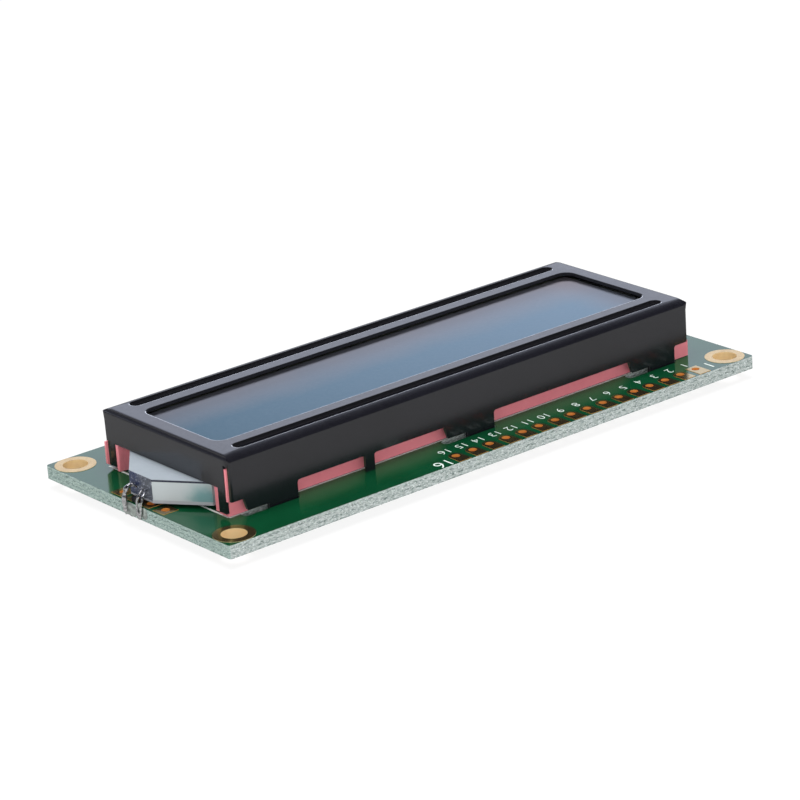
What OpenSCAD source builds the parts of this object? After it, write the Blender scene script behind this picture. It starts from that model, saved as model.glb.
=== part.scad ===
// Character display module, 16 characters by 2 lines, lit from one end.
// The origin is the centre of the four mounting holes on the rear face of the board.
// +X points to the lamp end, +Y to the header row and +Z out of the display.

/* [Board] */
// Length of the board
board_l = 80; // [78:0.5:90]
// Width of the board
board_w = 36; // [35:0.5:44]
// Thickness of the board
board_t = 1.6; // [1:0.1:2.4]
// Corner radius of the board
board_corner_r = 0.4; // [0.2:0.1:1.2]
// Thickness of the copper and its plating
plating_t = 0.04; // [0.03:0.01:0.08]

/* [Mounting holes] */
// Distance from each edge of the board to the centres of the corner holes
mount_inset = 2.5; // [2.5:0.05:3]
// Finished bore of a mounting hole
mount_d = 3; // [2.2:0.1:3.4]
// Diameter of the plated ring round a mounting hole
mount_ring_d = 4.9; // [4:0.1:5]

/* [Header row] */
// Number of header holes
header_count = 16; // [2:1:16]
// Pitch of the header holes
header_pitch = 2.54; // [2:0.02:2.54]
// Finished bore of a header hole
header_d = 1; // [0.8:0.05:1.1]
// Width of a header pad
header_pad_w = 1.76; // [1.5:0.02:1.8]
// Distance from the board's long edge to the row
header_inset = 1.9; // [1.7:0.05:2.2]
// Distance from the board's far end to the first hole
header_start = 8; // [6:0.1:10]

/* [Lamp pads] */
// Side of a square lamp pad
lamp_pad = 2.1; // [1.6:0.05:2.2]
// Bore of a lamp pad
lamp_pad_d = 1; // [0.7:0.05:1.2]
// Distance from the board's end to the lamp pads
lamp_pad_inset = 1.4; // [1.3:0.05:1.9]
// Distance of the outer lamp pads from the middle
lamp_pad_outer = 4.1; // [3.8:0.1:7]

/* [Bezel] */
// Length of board that the bezel leaves free, both ends together
bezel_free_l = 9.8; // [8.8:0.1:12]
// Width of board that the bezel leaves free, both sides together
bezel_free_w = 11.8; // [10:0.1:11.8]
// Shift of the bezel towards the lamp end
bezel_x = 0.4; // [-0.4:0.1:0.6]
// Shift of the bezel towards the header row
bezel_y = 0.15; // [-0.4:0.05:0.4]
// Thickness of the sheet steel
sheet_t = 0.4; // [0.3:0.05:0.5]
// Outer bend radius along the long skirts
skirt_bend_r = 0.9; // [0.8:0.05:1.4]
// Outer bend radius along the end flanges
flange_bend_r = 0.65; // [0.6:0.05:1.2]
// Radius of the four upright corners
corner_r = 0.6; // [0.5:0.05:0.9]
// Width of the bezel's frame at the ends of the window
frame_end_w = 2.35; // [2.3:0.05:6]
// Width of the bezel's frame along the sides of the window
frame_side_w = 4.65; // [4.1:0.05:6]
// Corner radius of the viewing window
window_r = 1.5; // [0.5:0.1:3]
// Depth from the bezel's face to the front polarizer
face_recess = 1.16; // [0.9:0.01:1.3]

/* [Bezel beads] */
// Distance from the bezel's end to the end of a pressed bead
bead_end = 2.7; // [2:0.1:15]
// Width of a pressed bead
bead_w = 1.6; // [1.5:0.1:1.8]
// Distance from the bezel's side to the middle of a bead
bead_side = 2.15; // [2.1:0.05:2.3]

/* [Bezel skirts] */
// Distance from the bezel's end to the outer tabs
tab_end = 2.3; // [2:0.1:5]
// Shift of the row of tabs from the bezel's middle
tab_shift = 0.2; // [-0.5:0.1:0.5]
// Width of a broad tab
tab_w = 7.4; // [6:0.1:8]
// Width of the tongue that enters the board
tongue_w = 4.1; // [3:0.1:4.6]
// Length of the tongue folded against the rear face
flap_l = 1.8; // [1:0.1:2.2]
// Inner bend radius of the folded tongue
flap_bend_r = 0.3; // [0.2:0.05:0.4]
// Width of the single narrow finger
finger_w = 1.3; // [0.8:0.1:2]
// Shift of the finger from midway between its two tabs
finger_shift = 0.4; // [0:0.1:2]
// Height of the cut-outs above the board
cutout_h = 2.05; // [1.4:0.05:2.4]
// Corner radius of the cut-outs
cutout_r = 0.35; // [0.2:0.05:0.6]
// Gap between the board and the edges that end short of it
foot_gap = 0.55; // [0.3:0.05:0.8]
// Slant of the broad tabs' free side
tab_slant = 0.35; // [0.1:0.05:0.6]

/* [Bezel end flanges] */
// Width of the slit between a skirt and an end flange
slit_w = 0.35; // [0.35:0.05:0.8]
// Width of the two legs of an end flange
leg_w = 1.3; // [0.8:0.1:1.8]
// Distance from the bezel's face to the top of the corner slits
slit_drop = 1.05; // [1:0.05:2]
// Distance by which the skirts stop short of the end flanges
skirt_short = 0.3; // [0.1:0.05:0.4]

/* [Glass cell] */
// Gap between the glass and the bezel at each end
glass_end_gap = 0.4; // [0.35:0.05:1]
// Gap between the front glass and the bezel at each side
glass_side_gap = 0.1; // [0.05:0.05:0.5]
// Gap between the rear glass and the header side strip
ledge_gap = 0.325; // [0.1:0.025:0.8]
// Thickness of a glass plate
glass_t = 1.1; // [0.7:0.1:1.3]
// Thickness of the seal between the plates
seal_t = 0.05; // [0.02:0.01:0.1]
// Width of the seal's frame
seal_w = 1.2; // [0.8:0.1:2]
// Lap of the polarizers beyond the window's ends
polarizer_lap = 0.75; // [0.5:0.05:0.9]
// Lap of the front polarizer beyond the window's sides
front_lap = 1.15; // [0.8:0.05:1.3]
// Inset of the rear polarizer from the rear glass's sides
rear_inset = 0.3; // [0.1:0.05:1]
// Thickness of a polarizer
polarizer_t = 0.18; // [0.1:0.01:0.25]
// Width of the plug that closes the filling port
plug_w = 5; // [3:0.5:8]
// Thickness of the plug that closes the filling port
plug_t = 0.3; // [0.2:0.05:0.35]

/* [Backlight] */
// Thickness of the light guide
guide_t = 2.65; // [2:0.05:3]
// Distance from the board's end to the end of the nose
nose_inset = 1.05; // [0.9:0.05:1.6]
// Width of the nose's end
nose_end_w = 4.4; // [4.4:0.1:6]
// Thickness of the diffuser sheet
diffuser_t = 0.3; // [0.1:0.05:0.5]
// Thickness of the reflector sheet
reflector_t = 0.2; // [0.1:0.05:0.4]
// Thickness of the mounting tape
tape_t = 0.45; // [0.2:0.05:0.8]
// Side of a piece of mounting tape
tape_l = 12; // [6:0.5:14]
// Distance of the mounting tape from the middle
tape_x = 22; // [12:0.5:26]
// Air gap above the diffuser sheet
film_gap = 0.1; // [0.05:0.05:0.3]
// Gap between the light guide and the flange above it
guide_clear = 0.12; // [0.05:0.01:0.3]
// Shift of the light guide towards the lamp end
guide_shift = 0.1; // [0:0.05:0.3]

/* [Lamp] */
// Width of the lamp body
lamp_w = 3.8; // [3.4:0.1:3.8]
// Depth of the lamp body
lamp_l = 1.7; // [1.5:0.1:2.2]
// Clearance of the lamp in its pocket
lamp_clear = 0.03; // [0.02:0.01:0.08]
// Pitch of the two leads
lead_pitch = 2.54; // [2:0.02:2.54]
// Width of a lead
lead_w = 0.7; // [0.4:0.05:0.8]
// Thickness of a lead
lead_t = 0.42; // [0.2:0.02:0.5]
// Length of lead buried in the lamp
lead_bury = 0.8; // [0.5:0.1:1.2]
// Inner radius of the leads' bend
lead_bend_r = 0.5; // [0.3:0.05:0.6]
// Gap between the board's edge and a lead
lead_gap = 0.08; // [0.04:0.01:0.2]
// Distance of the leads' ends from the board's rear face
lead_end = 0.12; // [0:0.02:0.4]

/* [Contact strips] */
// Width of an elastomer strip
strip_w = 2.45; // [2:0.05:2.5]
// Gap between an elastomer strip's ends and the bezel
strip_end_gap = 0.3; // [0.2:0.05:1]
// Distance from the bezel's side to the middle of the header side strip
near_strip_side = 2.65; // [2.1:0.05:2.8]
// Distance from the bezel's side to the middle of the far side strip
far_strip_side = 1.7; // [1.7:0.05:2.2]
// How far the soft strips bulge out at a corner of the bezel
strip_bulge = 0.3; // [0.05:0.05:0.5]
// Length of the header side strip's foot at the lamp end
lip_l = 2.4; // [0.8:0.1:3]
// Distance of that foot's side from the end of the slit beside it
foot_step = 0.25; // [0.1:0.05:0.5]
// Distance from the top of the slit to the soft strip pressed into it
lip_drop = 0.3; // [0.1:0.05:0.6]
// Pitch of the board's contact fingers
contact_pitch = 1.4; // [1.2:0.1:3]
// Width of a contact finger
contact_w = 0.8; // [0.4:0.05:1]
// Length of a contact finger
contact_l = 2; // [1:0.1:2.4]

/* [Rear parts] */
// Diameter of the controller's epoxy blob
controller_d = 17; // [12:0.5:18]
// Diameter of the driver's epoxy blob
driver_d = 15; // [10:0.5:18]
// Height of the epoxy blobs
blob_h = 1.25; // [0.8:0.05:2]
// Place of the controller's blob along the board
controller_x = 14; // [12:0.5:16]
// Place of the driver's blob along the board
driver_x = -17; // [-19:0.5:-15]
// Length of a chip part
chip_l = 2; // [1.6:0.1:2.2]
// Width of a chip part
chip_w = 1.25; // [0.8:0.05:1.3]
// Height of a chip resistor
resistor_h = 0.5; // [0.3:0.05:0.7]
// Height of a chip capacitor
capacitor_h = 0.85; // [0.5:0.05:1.1]
// Length of a chip part's metal end
chip_end = 0.38; // [0.2:0.02:0.5]

/* [Hidden] */
$fn = 48;

// Small overshoot of a cutting tool past the face it opens
cut = 1;

// Board
mount_pitch_x = board_l - 2 * mount_inset;
mount_pitch_y = board_w - 2 * mount_inset;
header_y = board_w / 2 - header_inset;
header_x0 = -board_l / 2 + header_start;
lamp_pad_x = board_l / 2 - lamp_pad_inset;
lamp_pad_ys = [-lamp_pad_outer, -lead_pitch / 2, lead_pitch / 2, lamp_pad_outer];
pad_space = 0.4;
inner_pad_w = min(lamp_pad, lead_pitch - pad_space);
edge_space = 0.15;
header_pad_end = header_inset - edge_space;

// Heights of the stack above the board
reflector_z = board_t + tape_t;
guide_z = reflector_z + reflector_t;
guide_top = guide_z + guide_t;
rear_polarizer_z = guide_top + diffuser_t + film_gap;
rear_glass_z = rear_polarizer_z + polarizer_t;
seal_z = rear_glass_z + glass_t;
front_glass_z = seal_z + seal_t;
front_glass_top = front_glass_z + glass_t;
bezel_top = front_glass_top + polarizer_t + face_recess;
strip_z = board_t + plating_t;

// Bezel, measured from its own centre
bezel_l = board_l - bezel_free_l;
bezel_w = board_w - bezel_free_w;
half_l = bezel_l / 2;
half_w = bezel_w / 2;
window_l = bezel_l - 2 * frame_end_w;
window_w = bezel_w - 2 * frame_side_w;
bead_l = bezel_l - 2 * bead_end;
bead_y = half_w - bead_side;
flange_half = half_w - sheet_t - slit_w;
skirt_end = half_l - skirt_short;
cutout_top = board_t + cutout_h;
foot_z = board_t + foot_gap;
flange_z = guide_top + guide_clear;
slit_top = bezel_top - slit_drop;
tab_pitch = half_l - tab_end - tab_w / 2;
tab_xs = [for (k = [-1, 0, 1]) tab_shift + k * tab_pitch];
finger_x = tab_shift + tab_pitch / 2 + finger_shift;

// A bead's underside bears on the front glass
bead_gap = 0.02;
bead_depth = bezel_top - sheet_t - front_glass_top - bead_gap;
bead_r = (bead_w * bead_w / 4 + bead_depth * bead_depth) / (2 * bead_depth);
bead_z = bezel_top - bead_depth + bead_r;

// Slots in the board that take the tongues
slot_clear = 0.25;
slot_w = 1.25;
slot_end_clear = 0.25;
slot_l = tab_w + 2 * slot_end_clear;
slot_r = slot_w * 0.45;
slot_y = half_w + slot_clear - slot_w / 2;
flap_gap = 0.05;

// Elastomer strips and glass
strip_l = bezel_l - 2 * (sheet_t + strip_end_gap);
near_strip_y = half_w - near_strip_side;
far_strip_y = half_w - far_strip_side;
glass_l = bezel_l - 2 * (sheet_t + glass_end_gap);
front_glass_w = bezel_w - 2 * (sheet_t + glass_side_gap);
rear_glass_w = 2 * (near_strip_y - strip_w / 2 - ledge_gap);
polarizer_l = window_l + 2 * polarizer_lap;
front_polarizer_w = window_w + 2 * front_lap;
rear_polarizer_w = rear_glass_w - 2 * rear_inset;

// Light guide and lamp
guide_l = glass_l;
guide_w = rear_glass_w;
guide_end = bezel_x + guide_l / 2 + guide_shift;
guide_start = guide_end - guide_l;
nose_end = board_l / 2 - nose_inset;
lamp_x0 = nose_end - lamp_l;
lead_z = guide_z + guide_t / 2;
lead_x = board_l / 2 + lead_gap;
solder_r = 0.85;
solder_out = 0.42;
solder_drop = 0.3;

// Insets of the thin layers from the plates they lie on
seal_inset = 0.3;
film_inset = 0.4;
film_r = 0.3;
nose_film_t = guide_clear * 0.4;

// A blob is a dome with its top cut off: the whole dome's height to the blob's
dome_ratio = 1.2;

// Room left between the soft strips and the sheet steel
strip_clear = 0.04;
strip_r = 0.25;
toe_l = 2.2;
contact_margin = 2;

// Chip parts on the rear face, in rows set in from the bezel's two long sides
chip_row_inset = 4.4;
chip_pitch = 3;
chip_pair_gap = 5;
far_row = bezel_y - bezel_w / 2 + chip_row_inset;
near_row = bezel_y + bezel_w / 2 - chip_row_inset;
lamp_row = far_row + chip_pitch / 2;

// Each chip part: place along the board, across it, and turn
resistors = [for (i = [0:4]) [-2, far_row + i * chip_pitch, 0],
    [28, lamp_row, 90], [28, lamp_row + chip_pair_gap, 90], [32, lamp_row + chip_pair_gap, 90],
    [-31, near_row - chip_pitch, 0]];
capacitors = [[32, lamp_row, 90], [-31, near_row - 2 * chip_pitch, 0], [2, near_row, 0]];

module rounded_rect(l, w, r) {
    square([l - 2 * r, w], center = true);
    square([l, w - 2 * r], center = true);
    for (x = [-1, 1], y = [-1, 1])
        translate([x * (l / 2 - r), y * (w / 2 - r)])
            circle(r);
}

module slab(l, w, t, r = 0.1) {
    linear_extrude(t)
        rounded_rect(l, w, r);
}

module each_mount_hole() {
    for (x = [-1, 1], y = [-1, 1])
        translate([x * mount_pitch_x / 2, y * mount_pitch_y / 2])
            children();
}

module each_header_hole() {
    for (i = [0 : header_count - 1])
        translate([header_x0 + i * header_pitch, header_y])
            children();
}

module each_lamp_pad() {
    for (y = lamp_pad_ys)
        translate([lamp_pad_x, y])
            children();
}

module at_bezel() {
    translate([bezel_x, bezel_y, 0])
        children();
}

// Extrudes a profile drawn in Y and Z along X
module along_x(l) {
    rotate([90, 0, 90])
        linear_extrude(l, center = true)
            children();
}

// Extrudes a profile drawn in X and Z along Y
module along_y(l) {
    rotate([90, 0, 0])
        linear_extrude(l, center = true)
            children();
}

module circuit_board() {
    color([0.07, 0.33, 0.19])
        linear_extrude(board_t)
            difference() {
                rounded_rect(board_l, board_w, board_corner_r);
                each_mount_hole() circle(d = mount_d + 2 * plating_t);
                each_header_hole() circle(d = header_d + 2 * plating_t);
                each_lamp_pad() circle(d = lamp_pad_d + 2 * plating_t);
                translate([bezel_x, bezel_y])
                    for (x = tab_xs, s = [-1, 1])
                        translate([x, s * slot_y])
                            rounded_rect(slot_l, slot_w, slot_r);
            }
}

// A plated hole: a ring on each face, drawn by the child, and a lined bore
module plated_hole(bore) {
    difference() {
        union() {
            for (z = [-plating_t, board_t])
                translate([0, 0, z])
                    linear_extrude(plating_t)
                        children();
            cylinder(d = bore + 2 * plating_t, h = board_t);
        }
        translate([0, 0, -cut])
            cylinder(d = bore, h = board_t + 2 * cut);
    }
}

module mount_hole_plating() {
    color([0.9, 0.8, 0.6])
        each_mount_hole() plated_hole(mount_d) circle(d = mount_ring_d);
}

module header_pad(first) {
    if (first)
        translate([-header_pad_w / 2, -header_pad_w / 2])
            square([header_pad_w, header_pad_w / 2 + header_pad_end]);
    else {
        circle(d = header_pad_w);
        translate([-header_pad_w / 2, 0])
            square([header_pad_w, header_pad_end]);
    }
}

module header_hole_plating() {
    color([0.9, 0.75, 0.5])
        for (i = [0 : header_count - 1])
            translate([header_x0 + i * header_pitch, header_y])
                plated_hole(header_d) header_pad(i == 0);
}

module lamp_pad_plating() {
    color([0.9, 0.75, 0.5])
        for (y = lamp_pad_ys)
            translate([lamp_pad_x, y])
                plated_hole(lamp_pad_d)
                    square([lamp_pad, abs(y) > lead_pitch ? lamp_pad : inner_pad_w], center = true);
}

module contact_row(y) {
    n = floor((glass_l - 2 * contact_margin) / contact_pitch);
    for (i = [0 : n - 1])
        translate([(i - (n - 1) / 2) * contact_pitch - contact_w / 2, y - contact_l / 2, board_t])
            cube([contact_w, contact_l, plating_t]);
}

module contact_fingers() {
    color([0.85, 0.68, 0.3])
        at_bezel()
            for (y = [-far_strip_y, near_strip_y])
                contact_row(y);
}

// Outline of the formed sheet across one direction: straight walls, round bends, flat face
module bent_outline(half, r, top, base) {
    translate([-half, base])
        square([2 * half, top - r - base]);
    translate([-(half - r), base])
        square([2 * (half - r), top - base]);
    for (s = [-1, 1])
        translate([s * (half - r), top - r])
            circle(r);
}

// The solid that the formed sheet wraps, shrunk on all sides by inset
module bezel_form(inset) {
    base = inset > 0 ? board_t - cut : board_t;
    r = max(corner_r - inset, 0.1);
    intersection() {
        along_x(2 * (half_l - inset))
            bent_outline(half_w - inset, skirt_bend_r - inset, bezel_top - inset, base);
        along_y(2 * (half_w - inset))
            bent_outline(half_l - inset, flange_bend_r - inset, bezel_top - inset, base);
        translate([0, 0, base])
            linear_extrude(bezel_top)
                rounded_rect(2 * (half_l - inset), 2 * (half_w - inset), r);
    }
}

// A rod with ball ends that forms one face of a pressed bead
module bead_rod(r) {
    for (s = [-1, 1])
        translate([s * (bead_l / 2 - bead_r), 0, bead_z])
            sphere(r);
    translate([0, 0, bead_z])
        rotate([0, 90, 0])
            cylinder(r = r, h = bead_l - 2 * bead_r, center = true);
}

module bead_ridge() {
    difference() {
        bead_rod(bead_r + sheet_t);
        translate([-bezel_l / 2, -bezel_w / 2, bezel_top - sheet_t / 2])
            cube([bezel_l, bezel_w, 2 * bead_r]);
    }
}

// Extrudes a profile drawn in X and Z through both skirts, clear of the end flanges
module through_skirts() {
    for (s = [-1, 1])
        translate([0, s * half_w, 0])
            along_y(2 * (half_w - flange_half))
                children();
}

// Cut-out with round upper corners, open at the bottom
module skirt_cutout(x0, x1) {
    h = cutout_top - board_t + cut;
    through_skirts()
        translate([(x0 + x1) / 2, cutout_top - h]) {
            translate([-(x1 - x0) / 2, 0])
                square([x1 - x0, h - cutout_r]);
            translate([-(x1 - x0) / 2 + cutout_r, 0])
                square([x1 - x0 - 2 * cutout_r, h]);
            for (s = [-1, 1])
                translate([s * ((x1 - x0) / 2 - cutout_r), h - cutout_r])
                    circle(cutout_r);
        }
}

// The free side of a broad tab ends above the board and slants
module tab_relief(x) {
    edge = x + tab_w / 2;
    through_skirts()
        polygon([[x - tab_w / 2 + tongue_w, board_t - cut], [edge + cut, board_t - cut],
            [edge + cut, cutout_top - cutout_r], [edge, cutout_top - cutout_r],
            [edge - tab_slant, foot_z], [x - tab_w / 2 + tongue_w, foot_z]]);
}

module skirt_cutouts() {
    end = half_l + cut;
    left = [for (x = tab_xs) x - tab_w / 2];
    right = [for (x = tab_xs) x + tab_w / 2];
    skirt_cutout(-end, left[0]);
    skirt_cutout(right[0], left[1]);
    skirt_cutout(right[1], finger_x - finger_w / 2);
    skirt_cutout(finger_x + finger_w / 2, left[2]);
    skirt_cutout(right[2], end);
    for (x = tab_xs)
        tab_relief(x);
}

// Opening under an end flange, between and below its two legs
module flange_cutout() {
    inner = flange_half - leg_w;
    along_x(bezel_l + 2 * cut) {
        translate([-inner, board_t - cut])
            square([2 * inner, flange_z - board_t + cut]);
        translate([-flange_half - cut / 2, board_t - cut])
            square([2 * flange_half + cut, foot_z - board_t + cut]);
    }
}

// Slit between a flange and a skirt, with a round top, and the skirt's shortened end
module corner_slit() {
    r = slit_w / 2;
    translate([half_l, flange_half + r, 0])
        along_x(2 * (flange_bend_r + corner_r)) {
            translate([-r, board_t - cut])
                square([slit_w, slit_top - r - board_t + cut]);
            translate([0, slit_top - r])
                circle(r);
        }
    translate([skirt_end, flange_half, board_t - cut])
        cube([skirt_short + cut, half_w - flange_half + cut, slit_top - board_t + cut - r]);
}

// A tongue drops through its slot and is folded against the rear face
module tongue_profile() {
    y = half_w - sheet_t - flap_bend_r;
    z = flap_bend_r - flap_gap;
    translate([half_w - sheet_t, z])
        square([sheet_t, foot_z - z]);
    translate([y, z])
        intersection() {
            difference() {
                circle(flap_bend_r + sheet_t);
                circle(flap_bend_r);
            }
            translate([0, -flap_bend_r - sheet_t])
                square(flap_bend_r + sheet_t);
        }
    translate([y - flap_l, z - flap_bend_r - sheet_t])
        square([flap_l, sheet_t]);
}

module tongues() {
    for (x = tab_xs, s = [0, 1])
        mirror([0, s, 0])
            translate([x - tab_w / 2 + tongue_w / 2, 0, 0])
                along_x(tongue_w)
                    tongue_profile();
}

module bezel() {
    color([0.09, 0.09, 0.1])
        at_bezel() {
            difference() {
                union() {
                    difference() {
                        bezel_form(0);
                        bezel_form(sheet_t);
                    }
                    for (s = [-1, 1])
                        translate([0, s * bead_y, 0])
                            bead_ridge();
                }
                translate([0, 0, board_t])
                    slab(window_l, window_w, bezel_top, window_r);
                for (s = [-1, 1])
                    translate([0, s * bead_y, 0])
                        bead_rod(bead_r);
                skirt_cutouts();
                flange_cutout();
                for (mx = [0, 1], my = [0, 1])
                    mirror([mx, 0, 0])
                        mirror([0, my, 0])
                            corner_slit();
            }
            tongues();
        }
}

module front_polarizer() {
    color([0.4, 0.48, 0.6])
        at_bezel()
            translate([0, 0, front_glass_top])
                slab(polarizer_l, front_polarizer_w, polarizer_t, film_r);
}

module front_glass() {
    color([0.75, 0.82, 0.85])
        at_bezel()
            translate([0, 0, front_glass_z])
                slab(glass_l, front_glass_w, glass_t);
}

module cell_seal() {
    l = glass_l - 2 * seal_inset;
    w = rear_glass_w - 2 * seal_inset;
    color([0.85, 0.85, 0.8])
        at_bezel()
            translate([0, 0, seal_z])
                linear_extrude(seal_t)
                    difference() {
                        square([l, w], center = true);
                        square([l - 2 * seal_w, w - 2 * seal_w], center = true);
                    }
}

module fill_port_plug() {
    color([0.8, 0.78, 0.68])
        at_bezel()
            translate([-glass_l / 2 - plug_t, -plug_w / 2, rear_glass_z])
                cube([plug_t, plug_w, 2 * glass_t + seal_t]);
}

module rear_glass() {
    color([0.7, 0.78, 0.82])
        at_bezel()
            translate([0, 0, rear_glass_z])
                slab(glass_l, rear_glass_w, glass_t);
}

module rear_polarizer() {
    color([0.45, 0.5, 0.55])
        at_bezel()
            translate([0, 0, rear_polarizer_z])
                slab(polarizer_l, rear_polarizer_w, polarizer_t, film_r);
}

module diffuser_sheet() {
    color([0.92, 0.94, 0.95])
        translate([(guide_start + guide_end) / 2, bezel_y, guide_top])
            slab(guide_l - 2 * film_inset, guide_w - 2 * film_inset, diffuser_t, film_r);
}

// Plan of the light guide: a long body and a nose that narrows to the lamp
module guide_plan() {
    polygon([[guide_start, -guide_w / 2], [guide_end, -guide_w / 2], [nose_end, -nose_end_w / 2],
        [nose_end, nose_end_w / 2], [guide_end, guide_w / 2], [guide_start, guide_w / 2]]);
}

module light_guide() {
    color([0.82, 0.87, 0.9])
        translate([0, bezel_y, guide_z])
            difference() {
                linear_extrude(guide_t)
                    guide_plan();
                translate([lamp_x0 - lamp_clear, -lamp_w / 2 - lamp_clear, -cut])
                    cube([lamp_l + cut, lamp_w + 2 * lamp_clear, guide_t + 2 * cut]);
            }
}

// White film over the light guide's nose and the lamp in it
module nose_film() {
    color([0.93, 0.94, 0.96])
        translate([0, bezel_y, guide_top])
            linear_extrude(nose_film_t)
                intersection() {
                    guide_plan();
                    translate([guide_end, -guide_w / 2])
                        square([nose_end - guide_end, guide_w]);
                }
}

module reflector_sheet() {
    color([0.95, 0.95, 0.95])
        translate([0, bezel_y, reflector_z])
            linear_extrude(reflector_t)
                guide_plan();
}

module mounting_tape() {
    color([0.9, 0.88, 0.8])
        translate([bezel_x, bezel_y, board_t])
            for (s = [-1, 1])
                translate([s * tape_x, 0, 0])
                    slab(tape_l, tape_l, tape_t, film_r);
}

module elastomer_strip() {
    slab(strip_l, strip_w, front_glass_z - strip_z, strip_r);
}

// The header side strip's end swells out beside the leg of the far end flange
module strip_toe() {
    y0 = flange_half + strip_clear - near_strip_y;
    y1 = half_w - sheet_t - strip_clear - near_strip_y;
    x0 = -half_l - strip_bulge / 2;
    x1 = toe_l - half_l;
    h = cutout_top - strip_z;
    translate([-strip_l / 2, 0, 0])
        cube([x1 + strip_l / 2, y1, h]);
    translate([x0, y0, 0])
        cube([x1 - x0, y1 - y0, h]);
}

// The far side strip is squeezed out through the slit at the lamp end
module strip_lip() {
    y0 = flange_half + strip_clear;
    y1 = half_w - sheet_t - strip_clear;
    translate([0, far_strip_y - y1, 0])
        cube([half_l + strip_bulge, y1 - y0, flange_z - strip_z]);
}

// At the lamp end the header side strip has a foot behind the flange's leg. From it the soft
// strip rises beside the glass and fills the slit above the skirt's cut-out.
module strip_filled_slit() {
    y0 = flange_half + strip_clear - near_strip_y;
    y1 = half_w - sheet_t - strip_clear - near_strip_y;
    x0 = strip_l / 2 - lip_l;
    x1 = half_l - sheet_t - strip_clear;
    x2 = half_l - 2 * strip_clear;
    x3 = glass_l / 2 + strip_clear;
    z = cutout_top - strip_z;
    h = slit_top - slit_w / 2 - lip_drop - cutout_top;
    translate([x0, 0, 0])
        cube([x1 - x0, flange_half - foot_step - near_strip_y, front_glass_z - strip_z]);
    translate([x3, 0, z])
        cube([x1 - x3, y1, h]);
    translate([x3, y0, z])
        cube([x2 - x3, y1 - y0, h]);
}

module header_side_strip() {
    color([0.78, 0.42, 0.46])
        at_bezel()
            translate([0, near_strip_y, strip_z]) {
                elastomer_strip();
                strip_toe();
                strip_filled_slit();
            }
}

module far_side_strip() {
    color([0.78, 0.42, 0.46])
        at_bezel()
            translate([0, -far_strip_y, strip_z]) {
                elastomer_strip();
                strip_lip();
            }
}

// Profile of a lead in X and Z: out of the lamp, round a bend and down past the board's edge
module lead_profile() {
    x = lead_x - lead_bend_r;
    z = lead_z - lead_t / 2 - lead_bend_r;
    translate([nose_end - lead_bury, lead_z - lead_t / 2])
        square([x - nose_end + lead_bury, lead_t]);
    translate([x, z])
        intersection() {
            difference() {
                circle(lead_bend_r + lead_t);
                circle(lead_bend_r);
            }
            square(lead_bend_r + lead_t);
        }
    translate([lead_x, lead_end])
        square([lead_t, z - lead_end]);
}

module lead(s) {
    translate([0, bezel_y + s * lead_pitch / 2, 0])
        along_y(lead_w)
            lead_profile();
}

module side_lamp() {
    color([0.25, 0.32, 0.5])
        difference() {
            translate([lamp_x0, bezel_y - lamp_w / 2, guide_z])
                cube([lamp_l, lamp_w, guide_t]);
            for (s = [-1, 1])
                lead(s);
        }
}

module lamp_anode_lead() {
    color([0.75, 0.75, 0.76]) lead(1);
}

module lamp_cathode_lead() {
    color([0.75, 0.75, 0.76]) lead(-1);
}

// Solder wets the board's edge round each lead
module solder_joint(s) {
    z0 = solder_drop;
    z1 = board_t - solder_drop;
    difference() {
        translate([board_l / 2 + solder_out - solder_r, bezel_y + s * lead_pitch / 2, 0]) {
            translate([0, 0, z0])
                cylinder(r = solder_r, h = z1 - z0);
            for (z = [z0, z1])
                translate([0, 0, z])
                    sphere(solder_r);
        }
        translate([board_l / 2 - solder_r * 2, -board_w / 2, -cut])
            cube([solder_r * 2, board_w, board_t + 2 * cut]);
        lead(s);
    }
}

module lamp_solder() {
    color([0.68, 0.69, 0.7])
        for (s = [-1, 1])
            solder_joint(s);
}

// Epoxy dome with a flat top, hanging from the rear face
module epoxy_blob(d) {
    full = blob_h * dome_ratio;
    r = (d * d / 4 + full * full) / (2 * full);
    intersection() {
        translate([0, 0, r - full])
            sphere(r, $fn = 180);
        translate([-d / 2, -d / 2, -blob_h])
            cube([d, d, blob_h]);
    }
}

module controller_blob() {
    color([0.06, 0.06, 0.06])
        translate([controller_x, 0, 0])
            epoxy_blob(controller_d);
}

module driver_blob() {
    color([0.06, 0.06, 0.06])
        translate([driver_x, 0, 0])
            epoxy_blob(driver_d);
}

module chip_bodies(places, h) {
    l = chip_l - 2 * chip_end;
    for (p = places)
        translate([p[0], p[1], -h])
            rotate(p[2])
                translate([-l / 2, -chip_w / 2, 0])
                    cube([l, chip_w, h]);
}

module chip_ends(places, h) {
    for (p = places)
        translate([p[0], p[1], -h])
            rotate(p[2])
                for (s = [-1, 1])
                    translate([s * (chip_l - chip_end) / 2 - chip_end / 2, -chip_w / 2, 0])
                        cube([chip_end, chip_w, h]);
}

module resistor_bodies() {
    color([0.1, 0.1, 0.1]) chip_bodies(resistors, resistor_h);
}

module resistor_terminals() {
    color([0.75, 0.75, 0.75]) chip_ends(resistors, resistor_h);
}

module capacitor_bodies() {
    color([0.6, 0.5, 0.38]) chip_bodies(capacitors, capacitor_h);
}

module capacitor_terminals() {
    color([0.75, 0.75, 0.75]) chip_ends(capacitors, capacitor_h);
}

circuit_board();
mount_hole_plating();
header_hole_plating();
lamp_pad_plating();
contact_fingers();
bezel();
front_polarizer();
front_glass();
cell_seal();
fill_port_plug();
rear_glass();
rear_polarizer();
diffuser_sheet();
light_guide();
nose_film();
reflector_sheet();
mounting_tape();
header_side_strip();
far_side_strip();
side_lamp();
lamp_anode_lead();
lamp_cathode_lead();
lamp_solder();
controller_blob();
driver_blob();
resistor_bodies();
resistor_terminals();
capacitor_bodies();
capacitor_terminals();
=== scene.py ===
import math

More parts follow.
